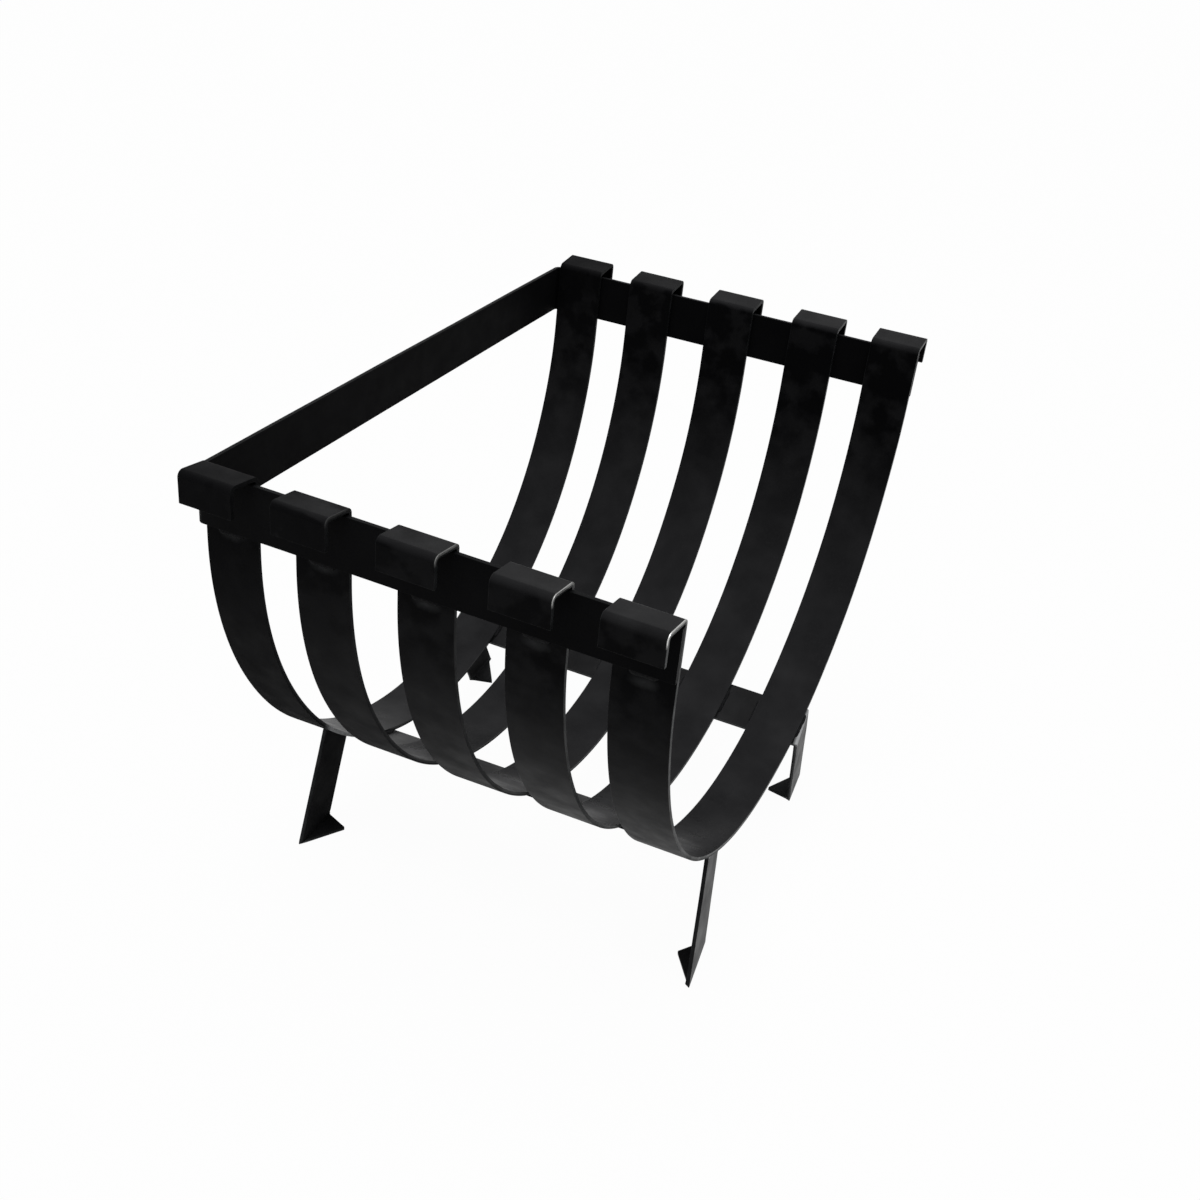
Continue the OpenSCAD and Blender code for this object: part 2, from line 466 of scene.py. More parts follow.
# Where they begin and where they are full: places along X and Y, and heights
UPPER_COAT_Z, HOOK_RUB_Z, OUTSIDE_Z = (200 * MM, 350 * MM), (381 * MM, 384 * MM), (340 * MM, 365 * MM)
LEFT_SHADE_AND_DULL_X, UNDER_Z, POLISH_Z = (80 * MM, -150 * MM), (260 * MM, 110 * MM), (135 * MM, 105 * MM)
RUB_AND_HIGHLIGHT_X, EDGE_HIGHLIGHT_X = (-120 * MM, 165 * MM), (-110 * MM, 165 * MM)
EDGE_HIGHLIGHT_Y, EDGE_HIGHLIGHT_Z = (-238 * MM, -246 * MM), (378 * MM, 382 * MM)
REAR_FEET_Y, REAR_FEET_Z = (0, 50 * MM), (7 * MM, 3.5 * MM)
SIDE_HIGHLIGHT_PLACE = (-0.124, -0.155, 0.130)
WELD_HIGHLIGHT_DROP = 6 * MM  # from a rail's lower edge to the middle of the painted highlight under a weld
ROLL_WIDTH, ROLL_LENGTH = 0.8 * MM, 60 * MM
APART = (0.3, 0.1, 0.2)  # takes one noise to other places than another of its kind


def fine_noise(tree, place, size, detail=2.0):
    """Noise with features about this many metres across."""
    return output(tree, "ShaderNodeTexNoise", {"Vector": place, "Scale": 1 / size, "Detail": detail})


def attribute(tree, name, kind="Vector"):
    """An attribute of the mesh."""
    return add_node(tree, "ShaderNodeAttribute", attribute_name=name).outputs[kind]


def part_of(tree, vector, letter):
    """One of the three parts of a vector."""
    return add_node(tree, "ShaderNodeSeparateXYZ", {0: vector}).outputs[letter]


def distance(tree, first, second):
    """Distance between two places."""
    return add_node(tree, "ShaderNodeVectorMath", {0: first, 1: second},
                    operation="DISTANCE").outputs["Value"]


def ramp(tree, value, low, high, out_low=0.0, out_high=1.0):
    """Value taken from one range to another and held inside it."""
    return output(tree, "ShaderNodeMapRange", {
        "Value": value, "From Min": low, "From Max": high, "To Min": out_low, "To Max": out_high,
    })


def ragged(tree, place, reach, grain, depth):
    """Distance made uneven by this depth, so that a mark that it measures has a ragged edge."""
    return plus(tree, reach, fine_noise(tree, place, grain, 3), depth)


def mix_colour(tree, share, first, second):
    """Mix of two colours, for which a mix node has its inputs 6 and 7 and its output 2."""
    return add_node(tree, "ShaderNodeMix", {0: share, 6: first, 7: second}, data_type="RGBA").outputs[2]


def tint(name):
    """One of the paint's colours."""
    return list(getattr(settings("paint"), name))


def bumps(tree, height, depth, below=None):
    """Bump of a height field over another bump."""
    inputs = {"Height": height, "Distance": depth}
    if below:
        inputs["Normal"] = below
    return output(tree, "ShaderNodeBump", inputs)


def new_finish(name, specular):
    """Material with its tree, its shader node and Object coordinates."""
    material = bpy.data.materials.new(name)
    material.use_nodes = True
    tree = material.node_tree
    shader = tree.nodes["Principled BSDF"]
    shader.inputs["Specular IOR Level"].default_value = specular
    shader.inputs["Specular Tint"].default_value = tint("sheen")
    place = tree.nodes.new("ShaderNodeTexCoord").outputs["Object"]
    return material, tree, shader, place


class Spot:
    """Sockets that tell a finish which spot of a bar it covers."""

    def __init__(self, tree, place):
        self.place = place
        self.x, self.y, self.z = (part_of(tree, place, letter) for letter in "XYZ")
        self.across = attribute(tree, "across")
        self.sideways = part_of(tree, self.across, "X")
        self.outwards = part_of(tree, self.across, "Y")
        size = vector_math(tree, "ABSOLUTE", self.across)
        # Distance from the nearer narrow side
        inset = vector_math(tree, "SUBTRACT", attribute(tree, "half_section"), size)
        self.from_side = part_of(tree, inset, "X")
        # 1 on the outer face, 0 on the inner one
        self.outer = ramp(tree, self.outwards, -0.5 * MM, 0.5 * MM)
        self.inner = math_node(tree, "SUBTRACT", 1, self.outer)


def strap_marks(tree, spot, coat, gloss):
    """Colour and roughness of a strap's paint, with the marks of making and use, painted shade towards the
    left and painted highlights.
    """
    # The coat gets thicker towards the tops of the straps, in spots of 20 mm, and is rubbed on the hooks
    upper = math_node(tree, "MINIMUM", ramp(tree, spot.z, *UPPER_COAT_Z),
                      ramp(tree, spot.z, *HOOK_RUB_Z, 1, 0.25))
    spots = fine_noise(tree, vector_math(tree, "ADD", spot.place, APART), 20 * MM, 5)
    upper = product(tree, upper, ramp(tree, spots, 0.4, 0.6, 0.55, 1.4))
    # Towards the left end the paint is darker, a painted shade in the thick coat's colour, and duller, but
    # not in the cradle
    outside = math_node(tree, "MAXIMUM", spot.outer, ramp(tree, spot.z, *OUTSIDE_Z))
    left = product(tree, ramp(tree, spot.x, *LEFT_SHADE_AND_DULL_X), outside)
    thick = math_node(tree, "MAXIMUM", upper, product(tree, left, LEFT_SHADE))
    coat = mix_colour(tree, thick, coat, tint("thick"))
    under = product(tree, ramp(tree, spot.z, *UNDER_Z), spot.outer)
    left_dull = plus(tree, LEFT_DULL, under, BOTH_DULL)
    gloss = plus(tree, gloss, under, UNDER_DULL)
    gloss = math_node(tree, "MINIMUM", plus(tree, gloss, left, left_dull), 1)
    # Logs polish the inside of the bellies
    polished = product(tree, ramp(tree, spot.z, *POLISH_Z), spot.inner)
    gloss = plus(tree, gloss, polished, POLISH)
    # A painted highlight lies on the outer face under each rail weld, 20 mm wide and half as high
    drop = math_node(tree, "SUBTRACT", spot.z, shared_sizes()["rail_low"] - WELD_HIGHLIGHT_DROP)
    from_mark = output(tree, "ShaderNodeCombineXYZ", {0: spot.sideways, 1: product(tree, drop, 2)})
    reach = ragged(tree, spot.place, distance(tree, from_mark, (0, 0, 0)), 6 * MM, 8 * MM)
    weld_highlight = product(tree, ramp(tree, reach, 4 * MM, 15 * MM, WELD_HIGHLIGHT, 0), spot.outer)
    coat = mix_colour(tree, weld_highlight, coat, tint("weld_highlight"))
    # A mottled grey painted highlight lies on the narrow sides of the first strap above the front left leg
    reach = ragged(tree, spot.place, distance(tree, spot.place, SIDE_HIGHLIGHT_PLACE), 4 * MM, 10 * MM)
    side_highlight = product(tree, ramp(tree, reach, 36 * MM, 26 * MM),
                      ramp(tree, spot.from_side, 0.3 * MM, 0.6 * MM, 1, 0),
                      ramp(tree, fine_noise(tree, spot.place, 2.5 * MM, 3), 0.35, 0.65, 0.6, 1))
    return mix_colour(tree, side_highlight, coat, tint("highlight_grey")), gloss


def leg_marks(tree, spot, coat, gloss):
    """Colour and roughness of a leg frame's paint, with the marks of making and use and a painted highlight
    along its bends.
    """
    on_leg, on_bend = (part_of(tree, attribute(tree, "member"), letter) for letter in "XY")
    # The spray reached the inner faces as half-dry dust, and the logs' bark polishes the bars
    gloss = plus(tree, gloss, spot.inner, DUST)
    gloss = plus(tree, gloss, spot.outer, ramp(tree, on_leg, 0, 1, BAR_POLISH, 0))
    # A grey painted highlight lies along the bend that ends a bar
    highlight_grey = product(tree, ramp(tree, on_bend, 0, 0.8, 0, BEND_HIGHLIGHT), spot.outer)
    coat = mix_colour(tree, highlight_grey, coat, tint("highlight_grey"))
    # The rear feet turn a lighter grey near the ground
    rear_feet_grey = product(tree, ramp(tree, spot.z, *REAR_FEET_Z, 0, REAR_FEET_GREY), ramp(tree, spot.y, *REAR_FEET_Y))
    return mix_colour(tree, rear_feet_grey, coat, tint("rear_feet_grey")), gloss


def edge_highlight_share(tree, spot):
    """Share of bright metal painted as a highlight along the upper right edge of the front hooks' tops, most
    at the right end.
    """
    return product(
        tree, math_node(tree, "POWER", ramp(tree, spot.x, *EDGE_HIGHLIGHT_X), 2), ramp(tree, spot.y, *EDGE_HIGHLIGHT_Y),
        ramp(tree, spot.z, *EDGE_HIGHLIGHT_Z), ramp(tree, spot.from_side, 0.3 * MM, 0.7 * MM, 1, 0),
        ramp(tree, spot.sideways, 0, 1 * MM), ramp(tree, spot.outwards, 0.4 * MM, -0.5 * MM),
    )


def painted_bar(kind):
    """Black stove paint, sprayed on rolled flat bar.

    The eye sees a near-black surface that turns grey only at a low angle. The coat has a fine spray texture
    over the long marks of rolling, is blotchy, and is rubbed thin on the narrow sides of the straps, which
    also carry a painted highlight. It lies smoother on the leg bars, which shine the most at a low angle, and
    is the most matt on the frame. Painted shade darkens the straps towards the left end, and painted
    highlights lie under the rail welds, along the legs' top bends and on the front hooks' upper right edges.
    """
    style = STYLES[kind]
    if style.name in bpy.data.materials:
        return bpy.data.materials[style.name]
    material, tree, shader, place = new_finish(style.name, style.specular)
    spot = Spot(tree, place)

    # Thin patches of 30 mm where two passes of the spray meet, flecks of 2 mm, and gloss in patches of 18 mm
    patches = ramp(tree, fine_noise(tree, place, 30 * MM, 5), 0.35, 0.75)
    flecks = ramp(tree, fine_noise(tree, place, 2 * MM), 0.5, 0.75, 0, 0.4)
    coat = mix_colour(tree, math_node(tree, "MAXIMUM", patches, flecks), *map(tint, style.tones))
    gloss = ramp(tree, fine_noise(tree, place, 18 * MM, 4), 0.3, 0.7, style.smooth, style.smooth + 0.15)
    if kind == "strap":
        coat, gloss = strap_marks(tree, spot, coat, gloss)
    elif kind == "leg":
        coat, gloss = leg_marks(tree, spot, coat, gloss)

    # The narrow sides are rubbed in stretches of 12 mm and lightened as a painted highlight, on the straps
    # the most towards the right end
    stretches = ramp(tree, fine_noise(tree, place, 12 * MM, 4), 0.38, 0.62, 0.35 * style.side_wear_and_highlight, style.side_wear_and_highlight)
    rubbed_and_highlit = product(tree, ramp(tree, spot.from_side, 0.1 * MM, 0.4 * MM, 1, 0), stretches)
    if kind == "strap":
        rubbed_and_highlit = product(tree, rubbed_and_highlit, ramp(tree, spot.x, *RUB_AND_HIGHLIGHT_X, 0.2, 1))
    coat = mix_colour(tree, rubbed_and_highlit, coat, tint("worn_and_highlit"))
    if kind == "strap":
        # Bright metal painted along the front hooks' upper right edges as their highlight
        edge_highlight = edge_highlight_share(tree, spot)
        coat = mix_colour(tree, edge_highlight, coat, tint("highlight_steel"))
        tree.links.new(edge_highlight, shader.inputs["Metallic"])
    tree.links.new(coat, shader.inputs["Base Color"])
    gloss = plus(tree, gloss, rubbed_and_highlit, RUB)
    tree.links.new(gloss, shader.inputs["Roughness"])

    # Spray texture of 0.9 mm, long marks of rolling, and dents 22 mm wide
    run = product(tree, attribute(tree, "along", "Fac"), ROLL_WIDTH / ROLL_LENGTH)
    stretch = output(tree, "ShaderNodeCombineXYZ", {2: run})
    rolled = fine_noise(tree, vector_math(tree, "ADD", spot.across, stretch), ROLL_WIDTH, 1)
    spray = bumps(tree, fine_noise(tree, place, 0.9 * MM, 2), 0.03 * MM)
    rolling = bumps(tree, rolled, 0.02 * MM, spray)
    dents = bumps(tree, fine_noise(tree, place, 22 * MM, 2), 0.35 * MM, rolling)
    tree.links.new(dents, shader.inputs["Normal"])
    return material


def painted_weld():
    """Satin black stove paint over weld beads, broken by their scale and pits."""
    material, tree, shader, place = new_finish("Satin black stove paint on weld bead", 0.05)
    pits = fine_noise(tree, place, 0.8 * MM, 3)
    tone = mix_colour(tree, ramp(tree, pits, 0.4, 0.7), tint("weld"), tint("thin"))
    gloss = ramp(tree, fine_noise(tree, place, 3 * MM, 2), 0.3, 0.7, 0.45, 0.65)
    tree.links.new(tone, shader.inputs["Base Color"])
    tree.links.new(gloss, shader.inputs["Roughness"])
    tree.links.new(bumps(tree, pits, 0.15 * MM), shader.inputs["Normal"])
    return material


# Pieces

def shared_sizes():
    """Sizes that several pieces take from the frame's boxes."""
    bars = settings("bars")
    low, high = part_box("top_frame")
    strap_low, strap_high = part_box("strap_3")
    legs_low, legs_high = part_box("rear_leg_frame")
    floor = strap_low.z + bars.thickness
    belly_z = floor + bars.belly
    return {
        "half_span": high.y - 2 * bars.thickness,
        "floor": floor,
        "belly_z": belly_z,
        "hook_top": high.z + bars.thickness + bars.bend,
        "flap_y": strap_high.y,
        "mid_x": (legs_low.x + legs_high.x) / 2,
        "legs_half": (legs_high.x - legs_low.x) / 2,
        "rail_low": low.z,
        "foot_y": belly_z * math.tan(bars.splay),
    }


def bar_values(width, direction, kind):
    """Inputs of the flat bar tree."""
    bars = settings("bars")
    return {
        "Width": width, "Thickness": bars.thickness, "Arris": bars.arris, "Width Direction": direction,
        "Material": painted_bar(kind),
    }


def strap_corners():
    """Corners of a strap's centre line in Y and Z, from the front flap's edge to the rear one, with radii."""
    bars = settings("bars")
    size = shared_sizes()
    half = bars.thickness / 2
    upright_y = size["half_span"] + half
    flap_y = size["flap_y"] - half
    turn = math.pi / 2 - bars.belly_join
    # The sides are arcs from the join to the upright ends
    side = (size["half_span"] - bars.belly * math.cos(bars.belly_join)) / (1 - math.cos(bars.belly_join))
    upright_z = size["belly_z"] + (side - bars.belly) * math.sin(bars.belly_join)

    def hook_z(y):
        rise = (y - size["half_span"]) * math.tan(bars.hook_rise)
        return size["hook_top"] - half / math.cos(bars.hook_rise) + rise

    rear = [
        (upright_y, upright_z - (side + half) * math.tan(bars.belly_join / 2)),
        (upright_y, hook_z(upright_y)),
        (flap_y, hook_z(flap_y)),
        (flap_y, size["hook_top"] - bars.flap_drop),
    ]
    lowest = (0, size["belly_z"] - (bars.belly + half) / math.cos(turn))
    corners = [(-y, z) for y, z in reversed(rear)] + [lowest] + rear
    sharp = bars.bend + half
    radii = [sharp, sharp, side + half, bars.belly + half, side + half, sharp, sharp]
    return corners, radii


class LOGHOLDER_OT_straps(bpy.types.Operator):
    """Bends the five straps, each from one flat bar"""

    bl_idname = "log_holder.straps"
    bl_label = "Bend the straps"

    def execute(self, context):
        tree = flat_bar_tree()
        corners, radii = strap_corners()
        bars = settings("bars")
        for node in STRAPS:
            low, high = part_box(node)
            middle = (low.x + high.x) / 2
            line = bend_line([Vector((middle, y, z)) for y, z in corners], radii, STRAP_STEP)
            mesh = evaluate(line_mesh(node, [line]), tree, bar_values(high.x - low.x, (1, 0, 0), "strap"))
            clean(mesh, bars.arris)
            add_piece("bent_" + node, mesh, node)
        return {"FINISHED"}


class LOGHOLDER_OT_top_frame(bpy.types.Operator):
    """Bends the two rails and the side bar from one flat bar on edge"""

    bl_idname = "log_holder.top_frame"
    bl_label = "Bend the top frame"

    def execute(self, context):
        bars = settings("bars")
        low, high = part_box("top_frame")
        half = bars.thickness / 2
        side_x, rail_y, z = low.x + half, high.y - half, (low.z + high.z) / 2
        corners = [Vector(p) for p in (
            (high.x, -rail_y, z), (side_x, -rail_y, z), (side_x, rail_y, z), (high.x, rail_y, z))]
        line = bend_line(corners, [bars.corner + half] * 2, RAIL_STEP)
        values = bar_values(high.z - low.z, (0, 0, 1), "frame")
        mesh = evaluate(line_mesh("top_frame", [line]), flat_bar_tree(), values)
        clean(mesh, bars.arris)
        add_piece("bent_top_frame", mesh, "top_frame")
        return {"FINISHED"}


def section_points(width, thickness, arris):
    """Outline of a flat bar's section with rounded edges, counter-clockwise about its middle."""
    points = []
    for sx, sy, start in ((1, 1, 0), (-1, 1, 90), (-1, -1, 180), (1, -1, 270)):
        for k in range(ARRIS_STEPS + 1):
            a = math.radians(start + 90 / ARRIS_STEPS * k)
            points.append((sx * (width / 2 - arris) + arris * math.cos(a),
                           sy * (thickness / 2 - arris) + arris * math.sin(a)))
    return points


def leg_seat():
    """Direction down the rear legs, direction across their bar, and the middle of its upper face."""
    bars = settings("bars")
    centre = shared_sizes()["belly_z"]
    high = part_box("rear_leg_frame")[1]
    down = Vector((0, math.sin(bars.splay), -math.cos(bars.splay)))
    across = Vector((0, math.cos(bars.splay), math.sin(bars.splay)))
    # The rear edge of the bar's upper face is the node's highest place
    depth = (centre - high.z + bars.leg_width / 2 * math.sin(bars.splay)) / math.cos(bars.splay)
    return down, across, Vector((0, 0, centre)) + down * depth


def square_fold(bars):
    """Inner and outer points of a square fold, as distances from the two outer faces that meet in it."""
    for k in range(FOLD_STEPS + 1):
        a = math.pi / 2 * k / FOLD_STEPS
        yield [(rest + r - r * math.sin(a), rest + r - r * math.cos(a))
               for rest, r in ((bars.thickness, bars.fold), (0, bars.fold_out))]


def leg_stations(leg):
    """Stations along half a leg frame, from its middle to a foot's tip.

    Each has a centre, the directions of width and thickness, the share of the width left, and its member.
    """
    bars = settings("bars")
    size = shared_sizes()
    thick, wall = bars.thickness, size["legs_half"]
    half, clear = thick / 2, thick + bars.fold + FOLD_ROOM
    down, across, seat = leg_seat()
    aside = Vector((1, 0, 0))
    stations = []
    for k in range(BAR_STEPS + 1):
        place = seat + down * half + aside * (wall - clear) * k / BAR_STEPS
        stations.append((place, across, -down, 1.0, BAR))
    for inner, outer in square_fold(bars):
        ends = [seat + aside * (wall - in_x) + down * depth for in_x, depth in (inner, outer)]
        stations.append(((ends[0] + ends[1]) / 2, across, (ends[1] - ends[0]) / thick, 1.0, BEND))
    leg_end = (seat.z - clear) / math.cos(bars.splay)
    climb = -down * leg.rise * MM / math.cos(bars.splay)
    shear = down * math.tan(bars.splay) - climb / bars.leg_width
    run = down * (leg_end - clear) + climb / 2
    for k in range(LEG_STEPS + 1):
        place = seat + aside * (wall - half) + down * clear + run * k / LEG_STEPS
        stations.append((place, across + shear * k / LEG_STEPS, aside, 1.0, LEG))

    # The foot is a corner folded in, so the bar narrows from the leg's outer face to the foot's tip
    reach = bars.foot_reach + leg.further * MM
    to_tip = bars.leg_width / 2 / math.cos(bars.splay) * (1 - 2 * leg.tip_place)
    fold_line = Vector((0, 1 / math.cos(bars.splay), 0)) - climb / bars.leg_width

    def add_to_foot(place, out, share):
        left = 1 - (1 - TIP) * share
        stations.append((place + climb / 2 * left, fold_line, out, left, LEG))

    for inner, outer in square_fold(bars):
        ends = [Vector((wall - in_x, 0, z)) for z, in_x in (inner, outer)]
        place = (ends[0] + ends[1]) / 2
        share = (wall - ends[1].x) / reach
        place.y = (size["belly_z"] - place.z) * math.tan(bars.splay) + to_tip * share
        add_to_foot(place, (ends[1] - ends[0]) / thick, share)
    for k in range(FOOT_STEPS + 1):
        share = (clear + (reach - clear) * k / FOOT_STEPS) / reach
        place = Vector((wall - reach * share, size["foot_y"] + to_tip * share, half))
        add_to_foot(place, Vector((0, 0, -1)), share)
    return stations


def leg_frame_mesh(end):
    """Mesh of a leg frame from one foot's tip to the other, with the attributes that its finish reads."""
    bars = settings("bars")
    middle = Vector((shared_sizes()["mid_x"], 0, 0))
    flip = Vector((-1, 1, 1))
    left, right = (leg_stations(LEGS[f"{end}_{side}"]) for side in ("left", "right"))
    stations = [(c * flip, w, t * flip, s, m) for c, w, t, s, m in reversed(left[1:])] + right
    outline = section_points(bars.leg_width, bars.thickness, bars.arris)
    work = bmesh.new()
    along = work.verts.layers.float.new("along")
    across, half_section, member = (
        work.verts.layers.float_vector.new(name) for name in ("across", "half_section", "member"))
    rings, run, last = [], 0.0, stations[0][0]
    for centre, width, out, share, belongs in stations:
        run += (centre - last).length
        last = centre
        ring = []
        for u, v in outline:
            vertex = work.verts.new(middle + (centre + width * u * share + out * v) * facing(end))
            vertex[along] = run
            vertex[across] = (u * share, v, 0)
            vertex[half_section] = (bars.leg_width / 2 * share, bars.thickness / 2, 0)
            vertex[member] = belongs
            ring.append(vertex)
        rings.append(ring)
    for first, second in zip(rings, rings[1:]):
        for k, vertex in enumerate(first):
            work.faces.new((first[k - 1], vertex, second[k], second[k - 1]))
    for ring in (rings[0], rings[-1]):
        work.faces.new(ring)
    bmesh.ops.recalc_face_normals(work, faces=work.faces[:])
    for face in work.faces:
        face.smooth = True
    mesh = bpy.data.meshes.new(end)
    work.to_mesh(mesh)
    work.free()
    return mesh


class LOGHOLDER_OT_leg_frames(bpy.types.Operator):
    """Bends the two leg frames with their folded feet"""

    bl_idname = "log_holder.leg_frames"
    bl_label = "Bend the leg frames"

    def execute(self, context):
        for end in ENDS:
            mesh = leg_frame_mesh(end)
            mesh.materials.append(painted_bar("leg"))
            clean(mesh)
            add_piece(f"bent_{end}_leg_frame", mesh, f"{end}_leg_frame")
        return {"FINISHED"}


def bead_tree():
    """Lays rippled weld beads along lines."""
    tree, given = group_tree("Weld beads", [
        ("Leg", "Float"), ("Height", "Float"), ("Along Leg", "Vector"), ("Ripple", "Float"),
        ("Seed", "Float"), ("Material", "Material"),
    ])
    line = curve_along(tree, given["Geometry"], given["Along Leg"])
    spline = tree.nodes.new("GeometryNodeSplineParameter").outputs
    place = output(tree, "GeometryNodeInputPosition")
    # Ripples swell a bead by 16 %, and lumps of 5 mm by up to 25 % either way
    phase = product(tree, spline["Length"], math_node(tree, "DIVIDE", 2 * math.pi, given["Ripple"]))
    ripple = plus(tree, 0.86, math_node(tree, "ABSOLUTE", math_node(tree, "SINE", phase)), 0.16)
    lumps = output(tree, "ShaderNodeTexNoise", {"Vector": place, "W": given["Seed"], "Scale": 1 / (5 * MM)},
                   noise_dimensions="4D")
    uneven = plus(tree, 1.0, math_node(tree, "SUBTRACT", lumps, 0.5), 0.5)
    # The bead starts and stops over its last tenth
    centred = math_node(tree, "ABSOLUTE", plus(tree, -1, spline["Factor"], 2))
    ends = math_node(tree, "SQRT", math_node(tree, "SUBTRACT", 1.04, math_node(tree, "POWER", centred, 10)))
    circle = output(tree, "GeometryNodeCurvePrimitiveCircle", {"Resolution": BEAD_SIDES, "Radius": 1.0})
    size = output(tree, "ShaderNodeCombineXYZ", {0: given["Leg"], 1: given["Height"], 2: 1.0})
    oval = output(tree, "GeometryNodeTransform", {0: circle, "Scale": size})
    bead = output(tree, "GeometryNodeCurveToMesh", {
        0: line, "Profile Curve": oval, "Scale": product(tree, ripple, uneven, ends), "Fill Caps": True,
    })
    return end_tree(tree, bead, given["Material"])


def bead_line(middle, half, ripple, to_end):
    """Points of a weld's root, as far to both sides of its middle as half its length."""
    start, end = middle - half, middle + half
    count = round((end - start).length / ripple * RIPPLE_STEPS)
    return [start.lerp(end, k / count) * to_end for k in range(count + 1)]


def weld_lines(end):
    """Roots of the welds under a rail, and of those beside the straps on a leg frame."""
    bars = settings("bars")
    welds = settings("welds")
    size = shared_sizes()
    _, across, seat = leg_seat()
    rail_corner = Vector((0, size["half_span"] + bars.thickness, size["rail_low"]))
    # No weld beside a strap lies beyond the bar's end
    left, right = (size["mid_x"] + size["legs_half"] * sign + LEGS[f"{end}_{side}"].top_aside * MM
                   for side, sign in (("left", -1), ("right", 1)))
    under_rail, beside_straps = [], []
    for low, high in map(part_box, STRAPS):
        middle = rail_corner + Vector(((low.x + high.x) / 2, 0, 0))
        half = Vector((welds.rail_length / 2, 0, 0))
        under_rail.append(bead_line(middle, half, welds.ripple, facing(end)))
        for x in (low.x, high.x):
            middle = seat + Vector((min(max(x, left), right), 0, 0)) - across * slide_at(end, x, size)
            half = across * welds.side_length / 2
            beside_straps.append(bead_line(middle, half, welds.ripple, facing(end)))
    return under_rail, beside_straps


class LOGHOLDER_OT_welds(bpy.types.Operator):
    """Lays the weld beads under the rails and beside the straps"""

    bl_idname = "log_holder.welds"
    bl_label = "Lay the welds"

    def execute(self, context):
        welds = settings("welds")
        tree = bead_tree()
        paint = painted_weld()
        # Both legs of a bead, and the direction of the first
        sections = [(settings("bars").thickness, welds.rail_height, (0, 1, 0)),
                    (welds.side_leg, welds.side_leg, (1, 0, 0))]
        for end in ENDS:
            for row, lines, (leg, height, direction) in zip(("rail", "leg"), weld_lines(end), sections):
                mesh = evaluate(line_mesh(row, lines), tree, {
                    "Leg": leg * BEAD_SHARE, "Height": height * BEAD_SHARE, "Along Leg": direction,
                    "Ripple": welds.ripple, "Seed": float(len(lines)), "Material": paint,
                })
                clean(mesh)
                add_piece(f"{end}_{row}_weld_beads", mesh, f"{end}_{row}_welds")
        return {"FINISHED"}


# Stage

# Name, place and width in metres, and power in watts
LAMPS = [("lamp_above", (0.2, 0.1, 1.9), 1.6, 6), ("lamp_right", (1.7, 0.1, 0.9), 1.2, 3)]
LAMPS_AIM = Vector((0, 0, 0.15))
SUN_PLACE, SUN_POWER, SUN_ANGLE = (-0.1, -0.15, 1), 2.8, math.radians(50)
SENSOR_MM, CLOSEST = 36, 0.01
FLOOR_REACH = 12
FLOOR_GLOW = 0.97  # share of even white in the floor that a camera sees
FILL = 0.2  # light of the backdrop on the holder, as a share of its brightness


def seen_ray(tree):
    """1 for a ray that shows the background directly, in gloss or through glass."""
    path = tree.nodes.new("ShaderNodeLightPath").outputs
    gloss = math_node(tree, "MAXIMUM", path["Is Glossy Ray"], path["Is Transmission Ray"])
    return math_node(tree, "MAXIMUM", path["Is Camera Ray"], gloss)


def pale_floor():
    """Matt white studio floor: as pale as the backdrop to the eye, with a faint soft shadow."""
    material = bpy.data.materials.new("Matt white studio floor")
    material.use_nodes = True
    tree = material.node_tree
    shader = tree.nodes["Principled BSDF"]
    shader.inputs["Base Color"].default_value = list(settings("stage").floor)
    shader.inputs["Roughness"].default_value = 0.9
    shader.inputs["Specular IOR Level"].default_value = 0.0
    glow = output(tree, "ShaderNodeEmission", {"Color": (1, 1, 1, 1), "Strength": 1.0})
    share = product(tree, seen_ray(tree), FLOOR_GLOW)
    mixed = output(tree, "ShaderNodeMixShader", {0: share, 1: shader.outputs[0], 2: glow})
    tree.links.new(mixed, tree.nodes["Material Output"].inputs["Surface"])
    return material


def add_lamp(name, kind, place, aim):
    """Lamp at this place that shines towards its aim."""
    lamp = bpy.data.objects.new(name, bpy.data.lights.new(name, kind))
    lamp.location = place
    lamp.rotation_euler = (aim - lamp.location).to_track_quat("-Z", "Y").to_euler()
    bpy.context.scene.collection.objects.link(lamp)
    return lamp.data


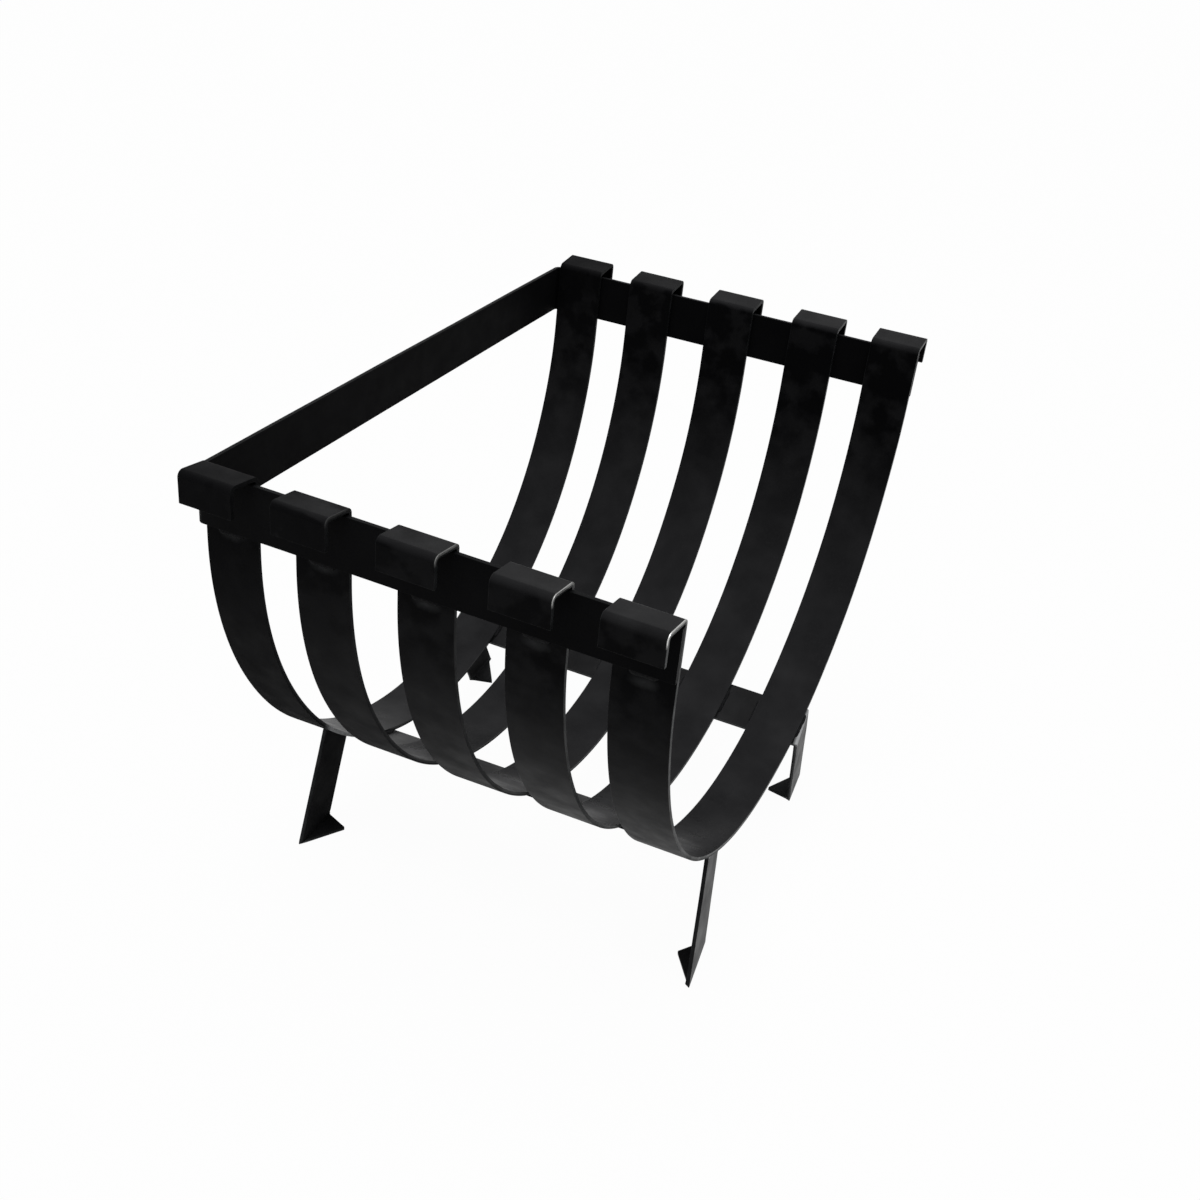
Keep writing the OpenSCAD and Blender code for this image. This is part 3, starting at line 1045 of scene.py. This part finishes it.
class LOGHOLDER_OT_stage(bpy.types.Operator):
    """Sets the camera, the soft lamps and the pale floor"""

    bl_idname = "log_holder.stage"
    bl_label = "Set the stage"

    def execute(self, context):
        scene = context.scene
        stage = settings("stage")
        camera = bpy.data.objects.new("camera", bpy.data.cameras.new("camera"))
        scene.collection.objects.link(camera)
        az, el = stage.azimuth, stage.elevation
        ahead = Vector((-math.sin(az) * math.cos(el), math.cos(az) * math.cos(el), -math.sin(el)))
        level = Vector((math.cos(az), math.sin(az), 0))
        upright = level.cross(ahead)
        right = level * math.cos(stage.roll) + upright * math.sin(stage.roll)
        up = upright * math.cos(stage.roll) - level * math.sin(stage.roll)
        turn = Matrix((right, up, -ahead)).transposed()
        camera.matrix_world = Matrix.Translation(stage.camera) @ turn.to_4x4()
        camera.data.sensor_width = SENSOR_MM
        camera.data.lens = stage.focal / MM
        camera.data.clip_start = CLOSEST
        scene.camera = camera

        sun = add_lamp("soft_overhead", "SUN", SUN_PLACE, Vector())
        sun.energy = SUN_POWER
        sun.angle = SUN_ANGLE
        for name, place, size, power in LAMPS:
            lamp = add_lamp(name, "AREA", place, LAMPS_AIM)
            lamp.size = size
            lamp.energy = power

        ground = bpy.data.meshes.new("floor")
        corners = [(x * FLOOR_REACH, y * FLOOR_REACH, 0) for x, y in ((-1, -1), (1, -1), (1, 1), (-1, 1))]
        ground.from_pydata(corners, [], [(0, 1, 2, 3)])
        floor = bpy.data.objects.new("floor", ground)
        scene.collection.objects.link(floor)
        ground.materials.append(pale_floor())

        world = bpy.data.worlds.new("studio")
        world.use_nodes = True
        tree = world.node_tree
        back = tree.nodes["Background"]
        strength = plus(tree, FILL, seen_ray(tree), 1 - FILL)
        tree.links.new(strength, back.inputs["Strength"])
        back.inputs["Color"].default_value = (1, 1, 1, 1)
        scene.world = world
        scene.view_settings.view_transform = "Standard"
        return {"FINISHED"}


class LOGHOLDER_PT_panel(bpy.types.Panel):
    """Lists the makers of the pieces and their settings"""

    bl_idname = "LOGHOLDER_PT_panel"
    bl_label = "Log holder"
    bl_space_type = "VIEW_3D"
    bl_region_type = "UI"
    bl_category = "Log holder"

    def draw(self, context):
        column = self.layout.column()
        for maker in MAKERS:
            column.operator(maker.bl_idname)
        for group in GROUPS:
            owner = getattr(context.scene, group)
            for name in owner.bl_rna.properties.keys():
                if name not in ("rna_type", "name"):
                    column.prop(owner, name)


GROUPS = {
    "log_holder_bars": LogHolderBars,
    "log_holder_hand": LogHolderHand,
    "log_holder_welds": LogHolderWelds,
    "log_holder_paint": LogHolderPaint,
    "log_holder_stage": LogHolderStage,
}
MAKERS = [
    LOGHOLDER_OT_stage, LOGHOLDER_OT_straps, LOGHOLDER_OT_top_frame, LOGHOLDER_OT_leg_frames,
    LOGHOLDER_OT_welds,
]
CLASSES = [*GROUPS.values(), *MAKERS, LOGHOLDER_PT_panel]


def register():
    for item in CLASSES:
        bpy.utils.register_class(item)
    for name, group in GROUPS.items():
        setattr(bpy.types.Scene, name, PointerProperty(type=group))


def unregister():
    for name in GROUPS:
        delattr(bpy.types.Scene, name)
    for item in reversed(CLASSES):
        bpy.utils.unregister_class(item)


def main():
    """Makes the whole scene."""
    register()
    bpy.ops.log_holder.stage()
    bpy.ops.log_holder.straps()
    bpy.ops.log_holder.top_frame()
    bpy.ops.log_holder.leg_frames()
    bpy.ops.log_holder.welds()


if __name__ == "__main__":
    main()
